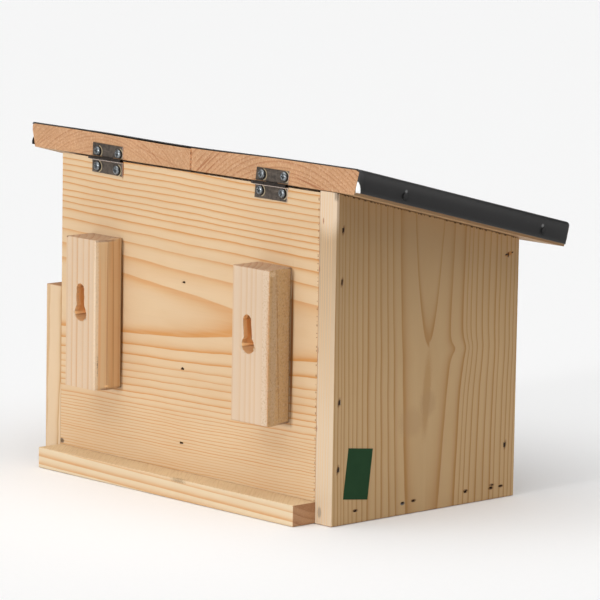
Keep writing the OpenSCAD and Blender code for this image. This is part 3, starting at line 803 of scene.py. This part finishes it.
def leaf(node, material, slope=0, lean=0, slip=0):
    """A hinge leaf, bent and pushed a little in its own plane away from the knuckles."""
    knuckle, bend = 2.2, 5
    shape = cad_copy(node)
    middle = middle_of(node, X_AXIS)
    for vert in shape.verts:
        off = vert.co.z / MM - pin_z
        share = held((abs(off) - knuckle) / bend)
        over = vert.co.x / MM - middle
        vert.co.z += slope * over * share * MM
        vert.co.x += (lean * off + slip) * share * MM
    piece(node, "metal", ease_metal(shape, 0.12), leaf_body(node), material)


def screw_spot(hinge, side, rise):
    """Where a hinge screw stands: hinge 0 is the tall side's, and rise is -1 on the lower leaf."""
    return hinge_x[hinge] + side * SCREW_PITCH / 2, pin_z + rise * SCREW_OFF


# How far each hinge screw was driven off its place, across and up
SCREW_SLIPS = {
    screw_spot(0, 1, 1): (-1.4, 0.4), screw_spot(0, -1, 1): (-1.7, 0.9),
    screw_spot(0, 1, -1): (0.4, 1.0), screw_spot(0, -1, -1): (0.1, 0.9),
    screw_spot(1, 1, 1): (-0.5, -0.8), screw_spot(1, -1, 1): (-0.9, -1.0),
    screw_spot(1, 1, -1): (-0.3, 0.2), screw_spot(1, -1, -1): (0.9, -0.9),
}


def leaf_screws(node, material):
    """The hinge screws, each driven a little off its place."""
    shape = cad_copy(node)
    for vert in shape.verts:
        place = vert.co / MM
        spot = min(SCREW_SLIPS, key=lambda spot: math.hypot(place.x - spot[0], place.z - spot[1]))
        slip = SCREW_SLIPS[spot]
        vert.co += Vector((slip[0], 0, slip[1])) * MM
    piece(node, "metal", ease_metal(shape, 0.1), leaf_body(node), material)


def hinge_pin(node, material):
    """A hinge pin, whose end past the knuckles is upset thicker and shorter."""
    thicker, shorter = 1.5, 0.5
    thick_from, short_from = 0.3, 0.5
    shape = cad_copy(node)
    knuckles_end = corners(node.replace("pin", "lower_leaf"))[1].x
    low, high = corners(node)
    axis = (low + high) / 2
    for past in (0.2, 0.4):
        part_at(shape, knuckles_end + past, RIGHT)
    for vert in shape.verts:
        if vert.co.x / MM > knuckles_end + thick_from:
            vert.co.y = axis.y * MM + (vert.co.y - axis.y * MM) * thicker
            vert.co.z = axis.z * MM + (vert.co.z - axis.z * MM) * thicker
        past = vert.co.x / MM - knuckles_end - short_from
        if past > 0:
            vert.co.x -= past * shorter * MM
    piece(node, "metal", shape, "box", material)


def hanger_block(node, material, arris, lean):
    """A hanger block, whose keyhole leans by so much each 15 mm and has torn edges."""
    bevel_end, slot_half, slot_side, tear, lean_over = 2.5, 8, 11, 0.4, -15
    shape = ease(cad_copy(node), arris, 40)
    low, high = corners(node)
    key_x = high.x - KEYHOLE_IN
    for under in (bevel_end, *range(KEYHOLE_TOP + 2, KEYHOLE_FOOT, 3), high.z - low.z - bevel_end):
        part_at(shape, high.z - under, UP)
    for over in (-slot_side, slot_side):
        part_at(shape, key_x + over, RIGHT)
    torn = random.Random(node)
    nudges = {}
    for vert in shape.verts:
        x, z = vert.co.x / MM, vert.co.z / MM
        if abs(x - key_x) < slot_half and high.z - KEYHOLE_FOOT < z < high.z - KEYHOLE_TOP:
            nudge = nudges.setdefault((round(x, 1), round(z, 1)), torn.uniform(-tear, tear))
            vert.co.x += (nudge + lean * (high.z - KEYHOLE_MIDDLE - z) / lean_over) * MM
    piece(node, "wood", shape, "box", material)


# Woods of the object

# Rings on the back panel: distances from the middle of its pattern, above and below it
BACK_ABOVE = [(24.1, 0.6, 3.2), (37.1, 0.55, 1.3), (48.4, 0.7), (57.1, 0.95), 64.7, 70.4, 75.1, 79.6,
              85, 90.1, 94.8, 99.8, 104.3, (109.5, 1.6, 1.2), 114]
BACK_BELOW = [(24.2, 1.1, 2.6), 32.8, 40.6, 47.5, 52.9, 57.9, 63.8, 68.8, 72.8, 77.7, 80.5, 83.2, 85.6,
              (87.8, 1.9), 90.4, 92.8, 95.2, 97.6, 100, 102.3, (104.4, 2, 1.3), 106.6, 108.8, 111,
              113.2, 115.4, 117.6, 119.8, 122, 125]
# Rings on the tall side, towards the rear and towards the front of its pattern
TALL_REAR = [(12.3, 0.8, 1.4), (30.5, 0.9, 1.5), 38.5, 44.5, (51.5, 1.2), 56.5, 64.5, 69.5, 75, 79, 83,
             87.5, 90, 93.5, 97, 100]
TALL_FRONT = [(12.3, 0.8, 1.4), (25.5, 0.9, 1.5), 37.5, 41.5, 45.5, (51, 1.1), (57.5, 1.2), 64.5,
              (71.5, 1.6), 75.5, 82, 86.5, 90.5, 94, 98]
BACK_HEART = 30
TALL_HEART = 20

BACK_NAILS = ((144.5, 85.5), (143.5, 151.5), (142.5, 209))
back_marks = [smudge(at, (1.3, 1), BARE_HOLE, hollow=1.5, ragged=0.5) for at in BACK_NAILS]
back_marks += [
    # Painted shadows: the dark strips where the hanger blocks shade the back panel
    smudge((72.9, 118), (0.9, 59), SHADE, ragged=0.05, share=0.9),
    smudge((264.3, 118), (1.6, 59), SHADE, ragged=0.05, share=0.9),
    broken_line(291, 0.7, (0.15, 0.055, 0.018), 2.6, share=0.75),
    # Painted shadow: a thin dark line beside a lower hinge leaf
    smudge((71.9, 7), (1.3, 7.8), (0.19, 0.055, 0.006), ragged=0.3),
    smudge((2, 228), (3, 2.2), BARE_HOLE, share=0.8),
]
back_wood = wood("back panel pine", corner=(back_high.x, rear_y, back_high.z + 0.6), along=-RIGHT,
                 across=-UP, inward=-REAR, heart=(109.7, -BACK_HEART),
                 rings=seen_rings(BACK_ABOVE, BACK_HEART, 1, (1, 1.5)),
                 other_rings=seen_rings(BACK_BELOW, BACK_HEART, 2, (0.75, 1.15)),
                 taper=3.3, taper_from=60, seed=3, marks=back_marks)

SLOTS = ((28, 7), (66, 6.5), (155, 5.5), (205, 5.5), (206.5, 180.5))
FOOT_NAILS = ((237.5, 24), (237.5, 84), (237, 139), (236, 167), (238.5, 166), (238, 177))
tall_marks = [
    # Painted shade under the roof's overhang, darkest at the top
    shade_under_roof(185, (0.272, 0.16, 0.066), 0.68),
    # Painted light: the rear edge is lighter near its top, against the roof's shade
    smudge((0, 9), (34, 20), (0.8, 0.64, 0.48), on="edge", share=0.6, ragged=0.3),
    torn_top(math.tan(ROOF_PITCH), 3, (0.06, 0.028, 0.01), 0.9),
    fine_lines((5, 7.5, 10.5, 13, 15), 0.5, (0.64, 0.4, 0.2), 0.55),
    smudge((158, 95.5), (34, 4.5), (0.45, 0.26, 0.1), turn=-3, share=0.7, ragged=1.5),
    smudge((165, 97), (11, 9), (0.43, 0.265, 0.125), share=0.45, ragged=2),
    smudge((178, 80), (12, 14), (0.44, 0.27, 0.13), share=0.35, ragged=2),
    smudge((60, 180), (1.7, 4.8), (0.42, 0.17, 0.04), turn=12, share=0.9),
    smudge((60.3, 177.5), (0.8, 1.8), BARE_HOLE, turn=12, hollow=1.5),
    smudge((59.2, 183.6), (0.6, 1.2), BARE_HOLE, turn=12, hollow=1.5),
    smudge((238.5, 72.5), (1.4, 2.3), (0.085, 0.1, 0.115), share=0.9),
    smudge((0, 0.5), (7, 1.2), BARE_HOLE, share=0.5),
]
for at in SLOTS:
    tall_marks.append(smudge(at, (4.2, 1.6), NAIL_STAIN, turn=-10, share=0.55))
    tall_marks.append(smudge(at, (2.4, 0.75), BARE_HOLE, turn=-10, hollow=1.5, ragged=0.4))
for at in FOOT_NAILS:
    tall_marks.append(smudge(at, (1.2, 3), NAIL_STAIN, share=0.75))
    tall_marks.append(smudge((at[0], at[1] + 0.6), (0.7, 1.2), BARE_HOLE, hollow=1.5, ragged=0.4))
for at in ((22, 14), (58, 17.5), (118, 17.6), (176, 17.5)):
    tall_marks.append(smudge(at, (2.6, 0.7), (0.24, 0.07, 0.03), on="edge", share=0.7))
tall_marks.append(smudge((238, 13), (4.5, 2.2), GREY_DIRT, on="edge", share=0.5))
tall_wood = wood("tall side pine", corner=(tall_low.x, rear_y, tall_high.z), along=-UP, across=-REAR,
                 inward=RIGHT, heart=(96.5, -TALL_HEART),
                 rings=seen_rings(TALL_REAR, TALL_HEART, 3, (0.95, 1.5)),
                 other_rings=seen_rings(TALL_FRONT, TALL_HEART, 4, (0.95, 1.5)),
                 taper=2.5, taper_from=60, cheek=(1.02, 1.2, 1.66), calm=1, waver=0.6, seed=11,
                 marks=tall_marks, bends=((127, 126.5, 5, 12, 10), (135, 140, 2.5, 35, 25)),
                 **TAN_PINE)
low_wood = wood("low side pine", corner=(low_high.x, rear_y, low_high.z), along=-UP, across=-REAR,
                inward=-RIGHT, heart=(120, -35), rings=even_rings(40, 150, 6, 5), taper=2,
                cheek=(1.06, 1.18, 1.5), seed=17, **TAN_PINE)

LIP_LINES = [(70, 0.6, 1.4), (74.8, 0.6, 1.3), (82.3, 0.75, 1.6), (88.3, 0.75, 1.6), (94, 0.6, 1.3)]
lip_marks = [
    saw_marks(-48, (0.5, 0.31, 0.15), 0.35),
    smudge((165, 1.5), (8, 1.4), (0.3, 0.21, 0.12), ragged=3.5, share=0.5),
    smudge((165, 1), (8, 2), (0.32, 0.22, 0.12), on="edge", ragged=3.5, share=0.5),
]
base_wood = wood("base board pine", corner=base_high, along=-RIGHT, across=-UP, inward=-REAR,
                 heart=(-75, 40), rings=seen_rings(LIP_LINES, 40, 8) + even_rings(106, 250, 6, 8),
                 taper=-3.1, edge=4, pale=(0.645, 0.515, 0.345), cheek=(1.1, 1.03, 0.93), calm=1,
                 warmth=0.2, waver=0.35, seed=23, marks=lip_marks)
inner_wood = wood("inner board pine", corner=(0, 0, 0), along=-UP, across=-REAR, inward=RIGHT,
                  heart=(20, -60), rings=even_rings(60, 240, 5.5, 9), taper=2.5, seed=29)
front_wood = wood("front board pine", corner=(0, 0, 0), along=-RIGHT, across=-UP, inward=REAR,
                  heart=(-90, -160), rings=even_rings(60, 320, 5, 12), taper=1.5, seed=31)

LOW_BLOCK_RINGS = [(82, 0.5, 1), (86.5, 0.3, 1), (91.1, 0.8, 1.2), (95.5, 0.9, 1.3), (101.3, 0.4, 1),
                   (106.5, 0.9, 1.2), (111.5, 0.5, 1), (116, 0.15, 1), (119.7, 0.35, 1),
                   (123.7, 1.1, 1), (127.5, 1.1, 1), (132, 0.4, 1), (137, 0.3, 1), (141, 0.3, 1)]
TALL_BLOCK_RINGS = [(82, 0.5, 1), (88.5, 0.5, 1), (93.2, 0.7, 1), (97.8, 0.7, 1), (101.7, 0.6, 1),
                    (108, 0.3, 1), (116, 0.15, 1), (125, 0.15, 1), (141, 0.15, 1)]
# Where a mark on a block's flank shows: all through the flank, or only near its skin
FLANK = {"on": "edge", "level": 38, "depth": 6}
FLANK_SKIN = {"on": "edge", "level": 40.5}
# Painted shade in the keyholes: orange bounce light in the slot, darker low in the round entry
keyhole_shade = [painted_hole_shade((50, KEYHOLE_IN), (18, 9), (0.84, 0.5, 0.225), 0.95),
                 painted_hole_shade((64, KEYHOLE_IN), (6.5, 9), (0.48, 0.24, 0.095), 0.95)]
low_block_marks = keyhole_shade + [
    # Painted light: the flank is lighter towards its root, against the shade there
    smudge((60, 18), (75, 10), (0.76, 0.5, 0.27), **FLANK, share=0.6, ragged=0.3),
    smudge((60, 1), (75, 2), (0.72, 0.56, 0.39), **FLANK, share=0.75, ragged=1.2),
    smudge((70, 3.6), (60, 1.1), (0.66, 0.34, 0.15), **FLANK, share=0.6, ragged=0.8),
    smudge((60, 9.3), (75, 0.7), (0.4, 0.17, 0.055), **FLANK, share=0.6, ragged=0.4),
    smudge((60, 16), (75, 0.8), (0.4, 0.17, 0.055), turn=0.6, **FLANK, share=0.5, ragged=0.4),
    # Painted shadow on the flank by its root at the back panel
    smudge((60, 25.4), (75, 1), SHADE, on="edge", level=36, depth=6, share=0.8, ragged=0.3),
    specks("face", 0, (0.5, 0.4, 0.3), 0.35, depth=3),
    smudge((103, 37.6), (16, 1), GREY_DIRT, ragged=3, share=0.9),
    smudge((96, 36.2), (9, 0.5), BARE_HOLE, ragged=3, share=0.7),
    smudge((112, 38.2), (6, 0.8), BARE_HOLE, ragged=3, share=0.8),
    smudge((113, 9), (0.8, 3.2), (0.78, 0.5, 0.24), **FLANK_SKIN, share=0.9),
    smudge((117, 19), (1, 3), (0.78, 0.5, 0.24), turn=30, **FLANK_SKIN, share=0.9),
]
tall_block_marks = keyhole_shade + [
    # Painted shadow on the flank by its root at the back panel
    smudge((60, 26.5), (75, 2.6), SHADE, **FLANK, share=0.7, ragged=0.3),
    smudge((58, 6), (70, 4), (0.56, 0.44, 0.32), **FLANK_SKIN, share=0.4),
    smudge((60, 0.4), (75, 0.5), (0.48, 0.23, 0.08), **FLANK_SKIN, share=0.7),
    smudge((60, 11), (75, 0.7), (0.38, 0.18, 0.06), turn=2.6, **FLANK_SKIN, share=0.7),
    smudge((3, 4), (2, 3.5), (0.8, 0.62, 0.4), **FLANK_SKIN, ragged=2, share=0.8),
    specks("edge", 38, (0.64, 0.5, 0.36), 0.45),
    specks("edge", 38, (0.3, 0.15, 0.06), 0.35, sign=-1),
]


def block_wood(name, corner, **other):
    """A hanger block, with its grain upright, measured from its top corner."""
    return wood(name, corner=corner, along=-UP, across=-RIGHT, inward=-REAR, blush=BLOCK_CREAM,
                line=(0.52, 0.29, 0.14), end=(0.42, 0.275, 0.17), **other)


block_low_wood = block_wood("hanger block pine, low side", block_right_high, heart=(-60, -60),
                            rings=LOW_BLOCK_RINGS, pale=BLOCK_CREAM, cheek=(1.05, 0.95, 0.76),
                            waver=0.3, edge=5, seed=37, fuzz=0.5, marks=low_block_marks)
block_tall_wood = block_wood("hanger block pine, tall side", block_left_high, heart=(-62, -50),
                             rings=TALL_BLOCK_RINGS, pale=(0.58, 0.438, 0.31),
                             cheek=(1.02, 0.89, 0.63), waver=0.4, edge=3, seed=41, strength=0.6,
                             fuzz=1, marks=tall_block_marks)


def roof_wood(name, outer_x, out, heart, rings, seed, marks):
    """A roof board, with the grain down the slope, measured from its outer edge and its top."""
    corner = Vector((outer_x, rear_y, roof_left_high.z))
    # The cheek tint is painted shade: the boards' ends under the sheet's skirt are darker
    return wood(name, corner=corner, along=down_slope, across=RIGHT * -out, inward=-off_slope,
                heart=heart, rings=rings, waver=0.8, edge=3.5, cheek=(0.52, 0.44, 0.35), seed=seed,
                marks=marks)


# Where a mark on the boards' sawn rear ends shows
ROOF_END = {"on": "end", "depth": 8}


def at_seam(side):
    """Torn dark spots down the seam of the roof boards, with paler rims."""
    spots = [smudge((side, 10), (1.3, 11), (0.4, 0.14, 0.04), **ROOF_END, share=0.75, ragged=1.5)]
    for deep in (5.5, 10, 14):
        spots.append(smudge((side, deep), (1, 1.3), NAIL_STAIN, **ROOF_END, share=0.75))
    spots.append(smudge((side, 18), (1.8, 2), NAIL_STAIN, **ROOF_END, share=0.85))
    # Painted shade on the boards' underside, under the overhang
    spots.append(underside(BOARD / MM + 0.7, (0.31, 0.165, 0.062), 0.8))
    spots.append(specks("end", 0, (0.72, 0.5, 0.32), 0.32, depth=8))
    spots.append(specks("end", 0, (0.33, 0.14, 0.05), 0.26, sign=-1, depth=8))
    return spots


def end_ring(start, stop, wide, share):
    """A bold year ring on the boards' sawn rear ends, from one point to another."""
    one, two = Vector(start), Vector(stop)
    turn = math.degrees(math.atan2((two - one).y, (two - one).x))
    return smudge((one + two) / 2, ((two - one).length / 2, wide), END_LINE, turn=turn, **ROOF_END,
                  share=share, ragged=0.5)


right_width = roof_right_high.x - seam
left_width = seam - roof_left_low.x
right_marks = at_seam(right_width) + [
    end_ring((6, 16), (28, 5), 0.6, 0.4),
    end_ring((120, 5), (176, 18), 0.7, 0.35),
]
left_marks = at_seam(left_width) + [
    end_ring((left_width - 25, 4), (left_width - 4, 20), 0.8, 0.75),
    end_ring((left_width - 29, 9), (left_width - 14, 20), 0.6, 0.5),
    end_ring((left_width - 17, 3), (left_width - 3, 14), 0.6, 0.5),
    end_ring((left_width - 113, 11), (left_width - 150, 19), 0.7, 0.7),
    end_ring((left_width - 62, 12), (left_width - 90, 9), 0.6, 0.4),
]
roof_right_wood = roof_wood("roof board pine, low side", roof_right_high.x, 1, (85, 110),
                            even_rings(86, 190, 3.1, 21, (0.05, 0.95)), 43, right_marks)
roof_left_wood = roof_wood("roof board pine, tall side", roof_left_low.x, -1, (78, 118),
                           even_rings(94, 200, 3.3, 22, (0.1, 1.15)), 47, left_marks)

# Metals of the object

zinc = steel("zinc plated steel", (0.3, 0.325, 0.34), (0.035, 0.035, 0.036), roughness=0.24,
             scale=0.9, dirt=0.95)
screw_heads = [Vector((x + over, rear_y + 0.8, z + up)) for (x, z), (over, up) in SCREW_SLIPS.items()]
dull = hinge_steel(screw_heads)
brad_metal = steel("dull brad steel", (0.075, 0.042, 0.022), (0.02, 0.012, 0.008), roughness=0.6,
                   scale=1.2, dirt=0.9)
# Nails, and the painted highlight at the bent-in corner, on the sheet's tall side, by run down the
# slope and height
NAIL_RUNS, NAIL_HEIGHT = (46, 195), 7.9
HIGHLIGHT_SPOT = (-0.8, 4.6)
dents = [roof_point(sheet_low.x, run, NAIL_HEIGHT) / MM for run in NAIL_RUNS]
charcoal = coated_sheet(dents, roof_point(sheet_low.x, *HIGHLIGHT_SPOT) / MM)

# The object's pieces. The back panel's top is lower than the CAD's, more so towards the tall side
TOP_ZONE = 0.7
TALL_SIDE_DROP, LOW_SIDE_DROP = 0.9, 0.3
back_shape = ease(cad_copy("back_panel"), ARRIS, LONG_EDGE)
for vert in back_shape.verts:
    if vert.co.z > (back_high.z - TOP_ZONE) * MM:
        vert.co.z -= (TALL_SIDE_DROP if vert.co.x < 0 else LOW_SIDE_DROP) * MM
piece("back_panel", "wood", back_shape, "box", back_wood)
board("tall_side_panel", tall_wood)
board("low_side_panel", low_wood)
board("base_board", base_wood)
board("partition", inner_wood)
board("front_board", front_wood)
board("front_rail", front_wood)
hanger_block("hanger_block_right", block_low_wood, arris=0.8, lean=0.3)
hanger_block("hanger_block_left", block_tall_wood, arris=1.2, lean=0.9)
roof_board("roof_board_left", roof_left_wood, sag_depth=1.5, sag_reach=110, lowered=0.3)
roof_board("roof_board_right", roof_right_wood, sag_depth=1.9, sag_reach=150, lowered=0.4)
leaf("hinge_left_lower_leaf", dull, slope=0.006, lean=-0.055, slip=0.3)
leaf("hinge_right_lower_leaf", dull, slope=0.02, slip=0.3)
leaf("hinge_left_upper_leaf", dull, slip=-1.3)
leaf("hinge_right_upper_leaf", dull, slope=0.018, slip=-0.4)
leaf_screws("lower_leaf_screws", zinc)
leaf_screws("upper_leaf_screws", zinc)
hinge_pin("hinge_left_pin", dull)
hinge_pin("hinge_right_pin", dull)
hardware("window_screws", "box", zinc, arris=0.1)
hardware("roof_nails_left", "lid", charcoal, arris=0.15)
hardware("roof_nails_right", "lid", charcoal, arris=0.15)
sheet = piece("roof_sheet", "metal", roof_sheet_shape(), "lid", charcoal)
thickness = sheet.modifiers.new("thickness", "SOLIDIFY")
thickness.thickness = SHEET
thickness.offset = -1

dressed = {"front_window": clear_pane(), "side_label": sticker(), "hanger_screws": zinc}
dressed.update((node, brad_metal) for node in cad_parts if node.endswith("_brads"))
for node, material in dressed.items():
    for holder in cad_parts[node].material_slots:
        holder.material = material


# Stage

def make_stage():
    shape = bmesh.new()
    bmesh.ops.create_grid(shape, x_segments=2, y_segments=2, size=FLOOR_HALF)
    mesh = bpy.data.meshes.new("floor")
    shape.to_mesh(mesh)
    shape.free()
    mesh.materials.append(pale_floor())
    floor = put_in_scene("floor", mesh)
    floor.location.z = -FLOOR_GAP


def aim(made, look, roll=0):
    made.rotation_mode = "QUATERNION"
    made.rotation_quaternion = look.to_track_quat("-Z", "Y") @ Quaternion((0, 0, 1), roll)


def make_key():
    """A sun stands for a lamp so far off that the floor is lit evenly."""
    light = bpy.data.lights.new("key", "SUN")
    light.energy = KEY_LEVEL * math.pi
    light.angle = math.radians(KEY_ANGLE)
    made = put_in_scene("key", light)
    aim(made, -Vector(KEY_FROM))


def make_world():
    """Soft boxes of light all round, and a plain backdrop where the camera looks past the floor."""
    world = bpy.data.worlds.new("studio")
    bpy.context.scene.world = world
    studio = Finish("studio", world)
    toward = studio.node("TexCoord", output="Generated")
    level = AMBIENT
    for place, half_angle, strength in (REAR_BOX, TOP_BOX, SIDE_BOX):
        facing = dot(toward, Vector(place).normalized())
        rim = math.cos(math.radians(half_angle * (1 + SOFT_RIM)))
        core = math.cos(math.radians(half_angle * (1 - SOFT_RIM)))
        box = {0: facing, 1: rim, 2: core, 3: 0, 4: strength}
        level = studio.node("MapRange", {"interpolation_type": "SMOOTHSTEP"}, box) + level
    seen = studio.node("LightPath", output="Is Camera Ray")
    total = studio.math("MULTIPLY_ADD", 1 - seen, level, seen * BACKDROP)
    studio.dress(Color=(1, 1, 1), Strength=total)


def make_camera():
    camera = bpy.data.cameras.new("camera")
    camera.lens = CAMERA_LENS
    camera.sensor_width = CAMERA_SENSOR
    camera.clip_start, camera.clip_end = CAMERA_REACH
    made = put_in_scene("camera", camera)
    flat = math.cos(CAMERA_ELEVATION)
    look = Vector((-math.sin(CAMERA_AZIMUTH) * flat, math.cos(CAMERA_AZIMUTH) * flat,
                   -math.sin(CAMERA_ELEVATION)))
    made.location = CAMERA_PLACE
    aim(made, look, CAMERA_ROLL)
    bpy.context.scene.camera = made


make_camera()
make_stage()
make_key()
make_world()
bpy.context.scene.view_settings.view_transform = "Standard"
